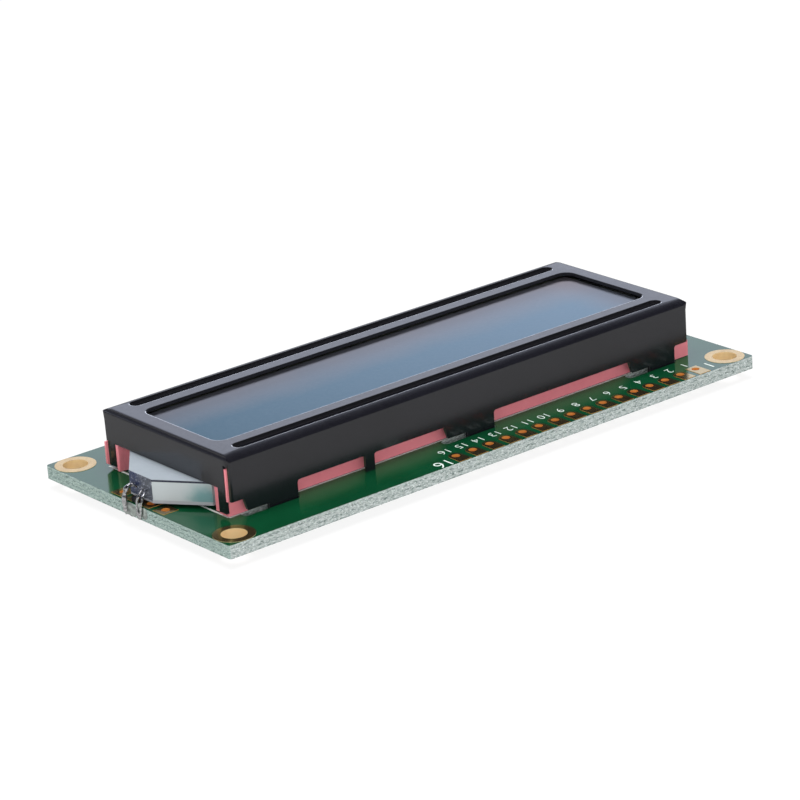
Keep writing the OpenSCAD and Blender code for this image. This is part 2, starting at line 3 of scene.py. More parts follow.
import bmesh
import bpy
from mathutils import Matrix, Vector, noise


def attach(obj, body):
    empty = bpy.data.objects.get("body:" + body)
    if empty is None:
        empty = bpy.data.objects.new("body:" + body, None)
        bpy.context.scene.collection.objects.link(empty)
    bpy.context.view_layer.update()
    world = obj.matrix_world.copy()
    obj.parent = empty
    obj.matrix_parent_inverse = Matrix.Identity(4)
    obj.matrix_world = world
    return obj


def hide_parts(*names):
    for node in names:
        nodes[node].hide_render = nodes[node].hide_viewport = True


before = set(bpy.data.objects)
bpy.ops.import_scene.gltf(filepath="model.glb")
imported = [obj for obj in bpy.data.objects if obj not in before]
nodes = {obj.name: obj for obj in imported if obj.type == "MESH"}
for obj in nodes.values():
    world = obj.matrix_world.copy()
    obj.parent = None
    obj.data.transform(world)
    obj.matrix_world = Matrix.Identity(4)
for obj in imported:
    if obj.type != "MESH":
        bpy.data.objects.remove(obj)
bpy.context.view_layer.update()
mm = 0.001
white = (1.0, 1.0, 1.0)
scene = bpy.context.scene
scene.view_settings.view_transform = "Standard"
print("packed part loaded,", len(nodes), "nodes")


# The camera stands where the photo's camera stood
cameraLook = {
    "place": (0.23413, 0.29911, 0.14331),
    "right": (-0.77241, 0.63185, -0.06437),
    "ahead": (-0.57637, -0.73992, -0.34687),
    "lens": 152.74, "sensor": 36, "clipStart": 0.02,
}


def makeCamera(look):
    data = bpy.data.cameras.new("viewCamera")
    data.sensor_width = look["sensor"]
    data.lens = look["lens"]
    data.clip_start = look["clipStart"]
    camera = bpy.data.objects.new("viewCamera", data)
    scene.collection.objects.link(camera)
    right = Vector(look["right"]).normalized()
    ahead = Vector(look["ahead"]).normalized()
    turn = Matrix((right, right.cross(ahead), -ahead)).transposed().to_4x4()
    camera.matrix_world = Matrix.Translation(Vector(look["place"])) @ turn
    scene.camera = camera


makeCamera(cameraLook)
print("camera placed")


# Helpers for node trees
def addNode(tree, kind, **values):
    node = tree.nodes.new(kind)
    for name, value in values.items():
        setattr(node, name, value)
    return node


def feed(tree, source, target):
    tree.links.new(source, target)


def setInputs(node, **values):
    for name, value in values.items():
        node.inputs[name].default_value = value


def fill(tree, node, values, sockets=None):
    for slot, value in zip(sockets or range(len(values)), values):
        if isinstance(value, (int, float)):
            node.inputs[slot].default_value = value
        elif isinstance(value, tuple):
            node.inputs[slot].default_value = (*value, 1.0)
        else:
            feed(tree, value, node.inputs[slot])


def maths(tree, operation, *values):
    node = addNode(tree, "ShaderNodeMath", operation=operation)
    fill(tree, node, values)
    return node.outputs[0]


def mixColours(tree, factor, first, second, blend="MIX"):
    node = addNode(tree, "ShaderNodeMix", data_type="RGBA", blend_type=blend)
    fill(tree, node, (factor, first, second), (0, 6, 7))
    return node.outputs[2]


def spread(tree, value, low=0.0, high=1.0, start=0.0, end=1.0, kind="LINEAR"):
    node = addNode(tree, "ShaderNodeMapRange", clamp=True, interpolation_type=kind)
    fill(tree, node, (value, start, end, low, high))
    return node.outputs[0]


def ramp(tree, value, stops, smooth=False):
    node = addNode(tree, "ShaderNodeValToRGB")
    node.color_ramp.interpolation = "EASE" if smooth else "LINEAR"
    while len(node.color_ramp.elements) < len(stops):
        node.color_ramp.elements.new(0.5)
    for element, (place, colour) in zip(node.color_ramp.elements, stops):
        element.position = place
        element.color = (*colour, 1.0) if isinstance(colour, tuple) else (*[colour] * 3, 1.0)
    feed(tree, value, node.inputs[0])
    return node.outputs[0]


def splitAxes(tree, vector):
    node = addNode(tree, "ShaderNodeSeparateXYZ")
    feed(tree, vector, node.inputs[0])
    return node.outputs


def trueNormal(tree):
    return splitAxes(tree, addNode(tree, "ShaderNodeNewGeometry").outputs["True Normal"])


# A pale studio. Its mirror image is bright behind the object, and dim at the horizon and on
# the camera's side, with a bright cap overhead
lightLook = {
    "haze": white, "gloss": (1.19, 1.27, 1.52),
    "bands": [(0.0, 1.0), (0.44, 1.0), (0.58, 0.14), (0.86, 0.14), (0.93, 0.5), (1.0, 0.55)],
    "behind": (-0.61, -0.79, 0.0), "turn": (0.42, 0.75), "dimSide": 0.06,
    "horizon": (0.10, 0.22), "dimHorizon": 0.3,
    "cap": [(0.9, 0.0), (0.955, 1.0)], "capLevel": (2.2, 2.2, 2.3),
    "softbox": {"side": 0.42, "place": (0.02, 0.03, 0.62), "power": 4.7},
    "fill": {"side": 0.5, "place": (0.30, 0.40, 0.10), "power": 1.0},
}


def makeWorld(look):
    world = bpy.data.worlds.new("paleStudio")
    scene.world = world
    world.use_nodes = True
    tree = world.node_tree
    tree.nodes.clear()
    way = addNode(tree, "ShaderNodeTexCoord").outputs["Generated"]
    height = splitAxes(tree, way)[2]
    path = addNode(tree, "ShaderNodeLightPath").outputs
    mirrored = path["Is Glossy Ray"]
    across = addNode(tree, "ShaderNodeVectorMath", operation="DOT_PRODUCT")
    across.inputs[1].default_value = look["behind"]
    feed(tree, way, across.inputs[0])
    side = spread(tree, across.outputs["Value"], look["dimSide"], 1.0, *look["turn"])
    rise = spread(tree, height, look["dimHorizon"], 1.0, *look["horizon"])
    share = maths(tree, "MULTIPLY", side, rise)
    shine = mixColours(tree, 1.0, look["gloss"], share, "MULTIPLY")
    tint = mixColours(tree, mirrored, look["haze"], shine)
    level = ramp(tree, height, look["bands"], smooth=True)
    lit = mixColours(tree, 1.0, level, tint, "MULTIPLY")
    cap = maths(tree, "MULTIPLY", ramp(tree, height, look["cap"]), mirrored)
    lit = mixColours(tree, cap, lit, look["capLevel"])
    glow = addNode(tree, "ShaderNodeBackground")
    feed(tree, mixColours(tree, path["Is Camera Ray"], lit, white), glow.inputs[0])
    out = addNode(tree, "ShaderNodeOutputWorld")
    feed(tree, glow.outputs[0], out.inputs[0])


def makePanel(name, look):
    data = bpy.data.lights.new(name, "AREA")
    data.shape = "SQUARE"
    data.size = look["side"]
    data.energy = look["power"]
    lamp = bpy.data.objects.new(name, data)
    lamp.location = look["place"]
    lamp.rotation_mode = "QUATERNION"
    lamp.rotation_quaternion = Vector(look["place"]).to_track_quat("Z", "Y")
    lamp.visible_glossy = False
    scene.collection.objects.link(lamp)


makeWorld(lightLook)
makePanel("softbox", lightLook["softbox"])
makePanel("fillPanel", lightLook["fill"])
print("light set")


# The floor shows white to the camera, keeps a faint shadow and is mirrored dimmer
floorLook = {
    "half": 4.0, "cells": 4, "level": -0.00127,
    "albedo": (0.85,) * 3, "shadowShare": 0.1, "mirrored": (0.47,) * 3,
}


def makeFloor(look):
    bm = bmesh.new()
    bmesh.ops.create_grid(bm, x_segments=look["cells"], y_segments=look["cells"], size=look["half"])
    bmesh.ops.translate(bm, vec=(0, 0, look["level"]), verts=bm.verts)
    mesh = bpy.data.meshes.new("paleFloor")
    bm.to_mesh(mesh)
    bm.free()
    floor = bpy.data.objects.new("paleFloor", mesh)
    scene.collection.objects.link(floor)
    material = bpy.data.materials.new("paleFloor")
    material.use_nodes = True
    tree = material.node_tree
    tree.nodes.clear()
    path = addNode(tree, "ShaderNodeLightPath").outputs
    mirrored = path["Is Glossy Ray"]
    seen = maths(tree, "MAXIMUM", path["Is Camera Ray"], mirrored)
    seen = maths(tree, "MAXIMUM", seen, path["Is Transmission Ray"])
    pale = mixColours(tree, seen, look["albedo"], white)
    matt = addNode(tree, "ShaderNodeBsdfDiffuse")
    feed(tree, mixColours(tree, mirrored, pale, look["mirrored"]), matt.inputs[0])
    glow = addNode(tree, "ShaderNodeEmission")
    feed(tree, mixColours(tree, mirrored, white, look["mirrored"]), glow.inputs[0])
    blend = addNode(tree, "ShaderNodeMixShader")
    share = maths(tree, "MULTIPLY", seen, 1.0 - look["shadowShare"])
    fill(tree, blend, (share, matt.outputs[0], glow.outputs[0]))
    out = addNode(tree, "ShaderNodeOutputMaterial")
    feed(tree, blend.outputs[0], out.inputs[0])
    mesh.materials.append(material)


makeFloor(floorLook)
print("floor laid")


# Surface effects shared by the materials: fine grain, dust specks and cut glass fibres
fibreLook = {
    "squeeze": (1.0, 1.0, 3.2),
    "bundles": {"Scale": 1500.0, "Detail": 4.0, "Roughness": 0.65, "Distortion": 0.4},
    "plies": {"Scale": 520.0, "Distortion": 2.4, "Detail": 2.0, "Detail Scale": 900.0},
    "flecks": {"Scale": 3600.0, "Detail": 2.0, "Roughness": 0.5},
}


def newGroup(name, inputs, outputs):
    tree = bpy.data.node_groups.new(name, "ShaderNodeTree")
    sockets = tree.interface
    sockets.new_socket(name="Vector", in_out="INPUT", socket_type="NodeSocketVector")
    for label, start in inputs.items():
        socket = sockets.new_socket(name=label, in_out="INPUT", socket_type="NodeSocketFloat")
        socket.default_value = start
    for label in outputs:
        sockets.new_socket(name=label, in_out="OUTPUT", socket_type="NodeSocketFloat")
    given = addNode(tree, "NodeGroupInput").outputs
    return tree, given, addNode(tree, "NodeGroupOutput").inputs


def makeGrain():
    tree, given, out = newGroup(
        "surfaceGrain", {"Scale": 900.0, "Low": 0.3, "High": 0.7}, ["Value"])
    speckle = addNode(tree, "ShaderNodeTexNoise")
    setInputs(speckle, Detail=3.0, Roughness=0.6)
    feed(tree, given["Vector"], speckle.inputs["Vector"])
    feed(tree, given["Scale"], speckle.inputs["Scale"])
    value = spread(tree, speckle.outputs[0], start=given["Low"], end=given["High"])
    feed(tree, value, out["Value"])
    return tree


def makeDust():
    tree, given, out = newGroup(
        "dustSpecks", {"Scale": 500.0, "Size": 0.12, "Share": 0.05}, ["Mask"])
    cells = addNode(tree, "ShaderNodeTexVoronoi", feature="F1")
    feed(tree, given["Vector"], cells.inputs["Vector"])
    feed(tree, given["Scale"], cells.inputs["Scale"])
    parts = addNode(tree, "ShaderNodeSeparateColor")
    feed(tree, cells.outputs["Color"], parts.inputs[0])
    chosen = maths(tree, "LESS_THAN", parts.outputs[0], given["Share"])
    reach = maths(tree, "MULTIPLY", given["Size"], parts.outputs[1])
    core = maths(tree, "MULTIPLY", reach, 0.5)
    near = spread(tree, cells.outputs["Distance"], 1.0, 0.0, core, reach)
    feed(tree, maths(tree, "MULTIPLY", chosen, near), out["Mask"])
    return tree


def makeFibres(look):
    tree, given, out = newGroup(
        "cutFibres", {"Ply": 0.2, "Length": 0.9}, ["Bundle", "Fleck", "Height"])
    squeeze = addNode(tree, "ShaderNodeVectorMath", operation="MULTIPLY")
    squeeze.inputs[1].default_value = look["squeeze"]
    feed(tree, given["Vector"], squeeze.inputs[0])
    bundles = addNode(tree, "ShaderNodeTexNoise")
    setInputs(bundles, **look["bundles"])
    feed(tree, squeeze.outputs[0], bundles.inputs["Vector"])
    plies = addNode(tree, "ShaderNodeTexWave", wave_type="BANDS", bands_direction="Z")
    setInputs(plies, **look["plies"])
    feed(tree, given["Vector"], plies.inputs["Vector"])
    flecks = addNode(tree, "ShaderNodeTexNoise")
    setInputs(flecks, **look["flecks"])
    feed(tree, squeeze.outputs[0], flecks.inputs["Vector"])
    mixed = maths(tree, "MULTIPLY_ADD", plies.outputs["Fac"], given["Ply"], bundles.outputs[0])
    feed(tree, mixed, out["Bundle"])
    feed(tree, flecks.outputs[0], out["Fleck"])
    rough = maths(tree, "MULTIPLY_ADD", flecks.outputs[0], given["Length"], mixed)
    feed(tree, rough, out["Height"])
    return tree


grainGroup = makeGrain()
dustGroup = makeDust()
fibreGroup = makeFibres(fibreLook)
print("surface effects built")


# Materials. A grain is given as its scale and the two levels between which it is spread
def useGroup(tree, group, vector, **values):
    node = addNode(tree, "ShaderNodeGroup", node_tree=group)
    feed(tree, vector, node.inputs["Vector"])
    setInputs(node, **values)
    return node.outputs


def grain(tree, vector, scale, low, high):
    return useGroup(tree, grainGroup, vector, Scale=scale, Low=low, High=high)["Value"]


def newSurface(name, **values):
    material = bpy.data.materials.new(name)
    material.use_nodes = True
    tree = material.node_tree
    shader = tree.nodes["Principled BSDF"].inputs
    for label, value in values.items():
        colour = (*value, 1.0) if isinstance(value, tuple) else value
        shader[label.replace("_", " ")].default_value = colour
    return material, tree, shader, addNode(tree, "ShaderNodeTexCoord").outputs["Object"]


def bumpFrom(tree, shader, height, strength, distance):
    bump = addNode(tree, "ShaderNodeBump")
    setInputs(bump, Strength=strength, Distance=distance)
    feed(tree, height, bump.inputs["Height"])
    feed(tree, bump.outputs[0], shader["Normal"])


laminateLook = {
    "mask": (0.0018, 0.047, 0.0165), "maskThin": (0.0028, 0.060, 0.022),
    "cloud": (170.0, 0.35, 0.75), "fibres": {"Ply": 0.10, "Length": 0.9},
    "bundles": [(0.36, (0.055, 0.085, 0.078)), (0.47, (0.225, 0.275, 0.26)),
                (0.66, (0.42, 0.465, 0.45))],
    "flecks": [(0.54, 0.0), (0.62, 1.0)], "glint": (0.60, 0.65, 0.64),
    # endPaintedShade is painted shade: the board's end faces darker and greener than its long sides
    "endPaintedShade": (0.78, 0.90, 0.86), "turned": 0.6,
    "ripple": (420.0, 0.2, 0.8), "roughness": (0.10, 0.18), "wallRough": 0.85,
    "skinHeight": 0.012, "bump": (0.8, 0.00012),
}


def makeLaminate(look):
    material, tree, shader, place = newSurface("boardLaminate", IOR=1.54)
    normal = trueNormal(tree)
    flat = maths(tree, "GREATER_THAN", maths(tree, "ABSOLUTE", normal[2]), look["turned"])
    end = maths(tree, "GREATER_THAN", maths(tree, "ABSOLUTE", normal[0]), look["turned"])
    wall = maths(tree, "SUBTRACT", 1.0, flat)
    green = mixColours(tree, grain(tree, place, *look["cloud"]), look["mask"], look["maskThin"])
    fibres = useGroup(tree, fibreGroup, place, **look["fibres"])
    pale = ramp(tree, fibres["Bundle"], look["bundles"])
    pale = mixColours(tree, ramp(tree, fibres["Fleck"], look["flecks"]), pale, look["glint"])
    # Painted shade: the end faces are multiplied darker
    pale = mixColours(tree, end, pale, look["endPaintedShade"], "MULTIPLY")
    feed(tree, mixColours(tree, flat, pale, green), shader["Base Color"])
    ripple = grain(tree, place, *look["ripple"])
    rough = maths(tree, "MULTIPLY", wall, look["wallRough"])
    rough = maths(tree, "MAXIMUM", spread(tree, ripple, *look["roughness"]), rough)
    feed(tree, rough, shader["Roughness"])
    wallHeight = maths(tree, "MULTIPLY", fibres["Height"], wall)
    skinHeight = maths(tree, "MULTIPLY", ripple, look["skinHeight"])
    bumpFrom(tree, shader, maths(tree, "ADD", wallHeight, skinHeight), *look["bump"])
    return material


# The bore walls (barrel) get a paler, less metallic colour than the flat plating: painted light
# inside the holes
goldLook = {
    "colour": (0.64, 0.455, 0.215), "wearAndHighlight": (0.55, 0.37, 0.165), "barrel": (0.88, 0.67, 0.37),
    "patch": (520.0, 0.42, 0.78), "fine": (3200.0, 0.25, 0.75), "turned": 0.5,
    "roughness": (0.16, 0.28), "barrelRough": 0.62, "flatMetal": 0.97, "barrelMetal": 0.3,
    "bump": (0.12, 0.000008),
}
holeGoldLook = {
    **goldLook,
    "colour": (0.50, 0.385, 0.195), "wearAndHighlight": (0.44, 0.315, 0.145), "barrel": (0.90, 0.42, 0.10),
    "roughness": (0.14, 0.26), "barrelRough": 0.6,
}


def makeGold(name, look):
    material, tree, shader, place = newSurface(name)
    normal = trueNormal(tree)
    barrel = maths(tree, "LESS_THAN", maths(tree, "ABSOLUTE", normal[2]), look["turned"])
    ring = mixColours(tree, grain(tree, place, *look["patch"]), look["colour"], look["wearAndHighlight"])
    # Painted light: the bore walls are paler than the ring so the holes look lit
    feed(tree, mixColours(tree, barrel, ring, look["barrel"]), shader["Base Color"])
    fine = grain(tree, place, *look["fine"])
    rough = maths(tree, "MULTIPLY", barrel, look["barrelRough"])
    rough = maths(tree, "MAXIMUM", spread(tree, fine, *look["roughness"]), rough)
    feed(tree, rough, shader["Roughness"])
    less = look["barrelMetal"] - look["flatMetal"]
    feed(tree, maths(tree, "MULTIPLY_ADD", barrel, less, look["flatMetal"]), shader["Metallic"])
    bumpFrom(tree, shader, fine, *look["bump"])
    return material


bezelLook = {
    "coat": (0.0065, 0.0065, 0.0095), "cloudGain": 1.35, "cloud": (110.0, 0.3, 0.8),
    "dust": (0.42, 0.42, 0.44), "specks": {"Scale": 330.0, "Size": 0.085, "Share": 0.03},
    # wearAndHighlight and highlightMetal make the painted highlight on the rims that face the light
    "wearAndHighlight": (0.62, 0.64, 0.68), "highlightMetal": 0.55, "wallRough": 0.8,
    "fine": (1400.0, 0.2, 0.8), "roughness": (0.16, 0.26),
    "peel": (650.0, 0.1, 0.9), "bump": (0.10, 0.00001),
}


def makeBezelCoat(look):
    material, tree, shader, place = newSurface("bezelBlack", IOR=1.68)
    specks = useGroup(tree, dustGroup, place, **look["specks"])["Mask"]
    thin = tuple(c * look["cloudGain"] for c in look["coat"])
    coat = mixColours(tree, grain(tree, place, *look["cloud"]), look["coat"], thin)
    coat = mixColours(tree, specks, coat, look["dust"])
    # Painted highlight: faces marked rimHighlight get a pale, partly metallic colour
    rim = addNode(tree, "ShaderNodeAttribute", attribute_name="rimHighlight").outputs["Fac"]
    wall = addNode(tree, "ShaderNodeAttribute", attribute_name="innerWall").outputs["Fac"]
    feed(tree, mixColours(tree, rim, coat, look["wearAndHighlight"]), shader["Base Color"])
    feed(tree, maths(tree, "MULTIPLY", rim, look["highlightMetal"]), shader["Metallic"])
    soft = maths(tree, "MAXIMUM", grain(tree, place, *look["fine"]), specks)
    rough = maths(tree, "MULTIPLY", wall, look["wallRough"])
    rough = maths(tree, "MAXIMUM", spread(tree, soft, *look["roughness"]), rough)
    feed(tree, rough, shader["Roughness"])
    bumpFrom(tree, shader, grain(tree, place, *look["peel"]), *look["bump"])
    return material


# Painted sheen: the film's own deep blue turns paler towards grazing, darker near the lamp end,
# lighter towards the far end and violet at the far end and far side
polarizerLook = {
    "deep": (0.022, 0.046, 0.082), "nearLamp": (0.060, 0.106, 0.155),
    "farEnd": (0.140, 0.205, 0.290), "violet": (0.235, 0.200, 0.218), "along": (0.034, -0.034),
    "endFade": (-0.0255, -0.0325), "endShare": 0.45,
    "across": (0.0015, -0.0085), "acrossShare": 0.75, "cloud": (42.0, 0.25, 0.8), "waver": 0.0035,
    "facing": 0.5, "graze": [(0.1, 0.0), (0.6, 1.0)],
    "fine": (2600.0, 0.3, 0.7), "roughness": (0.40, 0.5), "bump": (0.12, 0.000006),
}


def fade(tree, value, start, end):
    return spread(tree, value, start=start, end=end, kind="SMOOTHSTEP")


def makePolarizer(look):
    material, tree, shader, place = newSurface("polarizerFilm", IOR=1.45, Specular_IOR_Level=0.07)
    x, y = splitAxes(tree, place)[:2]
    along = spread(tree, x, 0.0, 1.0, *look["along"])
    cloud = grain(tree, place, *look["cloud"])
    across = maths(tree, "MULTIPLY_ADD", cloud, look["waver"], y)
    across = spread(tree, across, 0.0, look["acrossShare"], *look["across"])
    end = maths(tree, "MULTIPLY", fade(tree, x, *look["endFade"]), look["endShare"])
    # The haze colours below are painted sheen, standing in for light reflected off the film
    haze = mixColours(tree, along, look["nearLamp"], look["farEnd"])
    haze = mixColours(tree, end, haze, look["violet"])
    haze = mixColours(tree, across, haze, look["violet"])
    facing = addNode(tree, "ShaderNodeLayerWeight")
    setInputs(facing, Blend=look["facing"])
    graze = ramp(tree, facing.outputs["Facing"], look["graze"])
    feed(tree, mixColours(tree, graze, look["deep"], haze), shader["Base Color"])
    fine = grain(tree, place, *look["fine"])
    feed(tree, spread(tree, fine, *look["roughness"]), shader["Roughness"])
    bumpFrom(tree, shader, fine, *look["bump"])
    return material


glassLook = {
    "colour": (0.86, 0.93, 0.91), "chipped": (0.62, 0.78, 0.74), "chips": (900.0, 0.45, 0.8),
    "bump": (0.1, 0.00002),
}


def makeGlass(look):
    material, tree, shader, place = newSurface(
        "cellGlass", Base_Color=look["colour"], IOR=1.52, Roughness=0.03, Transmission_Weight=0.9)
    chips = grain(tree, place, *look["chips"])
    feed(tree, mixColours(tree, chips, look["colour"], look["chipped"]), shader["Base Color"])
    bumpFrom(tree, shader, chips, *look["bump"])
    return material


guideLook = {
    # top is painted shade: the top faces darker than the sides
    "milk": (0.445, 0.485, 0.495), "top": (0.285, 0.315, 0.345), "topFrom": 0.7,
    "rim": (0.028, 0.032, 0.048), "rimFrom": 0.00466, "foot": (0.36, 0.38, 0.40), "footTo": 0.00245,
    "teal": (0.115, 0.27, 0.275), "tealFrom": (0.0373, 0.0358), "tealUntil": (0.0347, 0.0354),
    "tealLow": (0.0044, 0.0027), "tealShare": (0.65, 0.2),
    "waver": (420.0, 0.3, 0.75), "waverAlong": 0.0006, "waverTall": -0.0009, "bump": (0.1, 0.00003),
}


def makeGuide(look):
    material, tree, shader, place = newSurface("guideAcrylic", IOR=1.49, Roughness=0.1)
    axes = splitAxes(tree, place)
    x, z = axes[0], axes[2]
    waver = grain(tree, place, *look["waver"])
    along = maths(tree, "MULTIPLY_ADD", waver, look["waverAlong"], x)
    tall = maths(tree, "MULTIPLY_ADD", waver, look["waverTall"], z)
    low = maths(tree, "MULTIPLY_ADD", fade(tree, tall, *look["tealLow"]), *look["tealShare"])
    within = fade(tree, along, *look["tealUntil"])
    teal = maths(tree, "MULTIPLY", fade(tree, along, *look["tealFrom"]), within)
    teal = maths(tree, "MULTIPLY", teal, low)
    side = mixColours(tree, teal, look["milk"], look["teal"])
    side = mixColours(tree, maths(tree, "LESS_THAN", z, look["footTo"]), side, look["foot"])
    side = mixColours(tree, maths(tree, "GREATER_THAN", z, look["rimFrom"]), side, look["rim"])
    # Painted shade: the top faces get the darker top colour
    flat = maths(tree, "GREATER_THAN", trueNormal(tree)[2], look["topFrom"])
    feed(tree, mixColours(tree, flat, side, look["top"]), shader["Base Color"])
    bumpFrom(tree, shader, waver, *look["bump"])
    return material


pinkLook = {
    "colour": (0.84, 0.245, 0.29), "pale": (0.90, 0.28, 0.325), "cloud": (260.0, 0.3, 0.75),
    "mirrored": (0.27, 0.49, 0.26), "mirrorShare": 0.75, "scatter": (0.9, 0.35, 0.3),
    "fine": (2400.0, 0.25, 0.75), "roughness": (0.42, 0.6), "bump": (0.2, 0.00002),
}


def makePink(look):
    material, tree, shader, place = newSurface(
        "pinkElastomer", IOR=1.42, Subsurface_Weight=0.12, Subsurface_Scale=0.0008)
    shader["Subsurface Radius"].default_value = look["scatter"]
    colour = mixColours(tree, grain(tree, place, *look["cloud"]), look["colour"], look["pale"])
    path = addNode(tree, "ShaderNodeLightPath").outputs
    share = maths(tree, "MULTIPLY", path["Is Glossy Ray"], look["mirrorShare"])
    feed(tree, mixColours(tree, share, colour, look["mirrored"]), shader["Base Color"])
    fine = grain(tree, place, *look["fine"])
    feed(tree, spread(tree, fine, *look["roughness"]), shader["Roughness"])
    bumpFrom(tree, shader, fine, *look["bump"])
    return material


lampLook = {
    "deep": (0.014, 0.024, 0.075), "pale": (0.062, 0.070, 0.090), "deepToPale": (-0.001, 0.0016),
    "glint": (0.32, 0.35, 0.42), "sparkle": [(0.12, 1.0), (0.42, 0.0)], "cells": 3600.0,
    "patch": (900.0, 0.3, 0.7), "waver": 0.0012, "roughness": (0.15, 0.4), "bump": (0.6, 0.00006),
}


def makeLamp(look):
    material, tree, shader, place = newSurface("lampResin", IOR=1.5)
    cells = addNode(tree, "ShaderNodeTexVoronoi", feature="F1")
    setInputs(cells, Scale=look["cells"], Randomness=1.0)
    feed(tree, place, cells.inputs["Vector"])
    away = cells.outputs["Distance"]
    patch = grain(tree, place, *look["patch"])
    across = maths(tree, "MULTIPLY_ADD", patch, look["waver"], splitAxes(tree, place)[1])
    body = mixColours(tree, fade(tree, across, *look["deepToPale"]), look["deep"], look["pale"])
    sparkle = ramp(tree, away, look["sparkle"])
    feed(tree, mixColours(tree, sparkle, body, look["glint"]), shader["Base Color"])
    feed(tree, spread(tree, away, *look["roughness"]), shader["Roughness"])
    bumpFrom(tree, shader, away, *look["bump"])
    return material


# Plain surfaces: two colours, scale of the patches, roughness, strength and depth of the bump
plainLook = {
    "patch": (0.3, 0.72), "fine": (0.25, 0.75), "mattScale": 4.0, "mattDepth": 0.00002,
    "metalScale": 3.5, "metalDepth": 0.00004,
}
mattSurfaces = {
    "sealResin": ((0.62, 0.60, 0.48), (0.52, 0.50, 0.40), 500.0, (0.3, 0.5), 0.2),
    # plugResin is nearly black: painted shade, the plug lies in shadow under the flange
    "plugResin": ((0.045, 0.042, 0.036), (0.03, 0.028, 0.025), 500.0, (0.3, 0.5), 0.2),
    "whiteFilm": ((0.84, 0.86, 0.88), (0.78, 0.80, 0.83), 300.0, (0.35, 0.5), 0.1),
    "backSheet": ((0.40, 0.41, 0.44), (0.33, 0.34, 0.37), 300.0, (0.4, 0.6), 0.1),
    "foamTape": ((0.80, 0.77, 0.68), (0.70, 0.68, 0.60), 1800.0, (0.8, 0.95), 0.8, 0.00006),
    "dullSolder": ((0.36, 0.40, 0.37), (0.13, 0.145, 0.14), 1700.0, (0.12, 0.3), 0.9, 0.00008),
    "blackEpoxy": ((0.012, 0.012, 0.012), (0.020, 0.020, 0.021), 300.0, (0.16, 0.30), 0.15),
    "resistorGlaze": ((0.018, 0.018, 0.020), (0.03, 0.03, 0.032), 900.0, (0.15, 0.3), 0.2),
    "capacitorTan": ((0.34, 0.22, 0.12), (0.28, 0.18, 0.10), 1200.0, (0.3, 0.5), 0.2),
    # noseFilm is darker than a white film: painted shade from the flange above it
    "noseFilm": ((0.352, 0.395, 0.44), (0.33, 0.372, 0.415), 300.0, (0.35, 0.5), 0.1),
    "silkInk": ((0.80, 0.85, 0.83), (0.62, 0.69, 0.66), 2600.0, (0.5, 0.7), 0.5),
    "coveredCopper": ((0.010, 0.145, 0.055), (0.012, 0.165, 0.062), 600.0, (0.06, 0.12), 0.05),
}
metalSurfaces = {
    "tinnedLead": ((0.95, 0.95, 0.94), (0.42, 0.41, 0.43), 2300.0, (0.05, 0.16), 1.0),
    "tinnedEnd": ((0.74, 0.75, 0.76), (0.58, 0.59, 0.60), 1500.0, (0.2, 0.4), 0.3),
}


def makePlain(look, kind, name, colour, other, scale, roughness, bump, depth=None):
    material, tree, shader, place = newSurface(name, Metallic=1.0 if kind == "metal" else 0.0)
    patch = grain(tree, place, scale, *look["patch"])
    feed(tree, mixColours(tree, patch, colour, other), shader["Base Color"])
    fine = grain(tree, place, scale * look[kind + "Scale"], *look["fine"])
    feed(tree, spread(tree, fine, *roughness), shader["Roughness"])
    bumpFrom(tree, shader, patch if kind == "metal" else fine, bump, depth or look[kind + "Depth"])
    return material


surfaces = {
    "boardLaminate": makeLaminate(laminateLook),
    "goldPlating": makeGold("goldPlating", goldLook),
    "holeGold": makeGold("holeGold", holeGoldLook),
    "bezelBlack": makeBezelCoat(bezelLook),
    "polarizerFilm": makePolarizer(polarizerLook),
    "cellGlass": makeGlass(glassLook),
    "guideAcrylic": makeGuide(guideLook),
    "pinkElastomer": makePink(pinkLook),
    "lampResin": makeLamp(lampLook),
}
for kind, table in (("matt", mattSurfaces), ("metal", metalSurfaces)):
    for name, values in table.items():
        surfaces[name] = makePlain(plainLook, kind, name, *values)

nodeSurfaces = {
    "circuit_board": "boardLaminate", "mount_hole_plating": "goldPlating",
    "header_hole_plating": "holeGold", "lamp_pad_plating": "holeGold",
    "contact_fingers": "goldPlating", "bezel": "bezelBlack", "front_polarizer": "polarizerFilm",
    "rear_polarizer": "polarizerFilm", "front_glass": "cellGlass", "rear_glass": "cellGlass",
    "cell_seal": "sealResin", "fill_port_plug": "plugResin", "diffuser_sheet": "whiteFilm",
    "reflector_sheet": "backSheet", "light_guide": "guideAcrylic", "nose_film": "noseFilm",
    "mounting_tape": "foamTape", "header_side_strip": "pinkElastomer",
    "far_side_strip": "pinkElastomer", "side_lamp": "lampResin", "lamp_anode_lead": "tinnedLead",
    "lamp_cathode_lead": "tinnedLead", "lamp_solder": "dullSolder", "controller_blob": "blackEpoxy",
    "driver_blob": "blackEpoxy", "resistor_bodies": "resistorGlaze",
    "resistor_terminals": "tinnedEnd", "capacitor_bodies": "capacitorTan",
    "capacitor_terminals": "tinnedEnd",
}
for name, surface in nodeSurfaces.items():
    for slot in nodes[name].material_slots:
        slot.material = surfaces[surface]
print("materials given to", len(nodeSurfaces), "nodes")


# Helpers for new pieces
def finishPiece(bm, name, surface, smooth=True, replaced=()):
    mesh = bpy.data.meshes.new(name)
    bm.to_mesh(mesh)
    bm.free()
    mesh.materials.append(surfaces[surface])
    if smooth:
        mesh.shade_smooth()
    piece = bpy.data.objects.new(name, mesh)
    scene.collection.objects.link(piece)
    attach(piece, "root")
    if replaced:
        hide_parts(*replaced)
    return piece


def linkedEdges(verts):
    return list(dict.fromkeys(e for v in verts for e in v.link_edges))


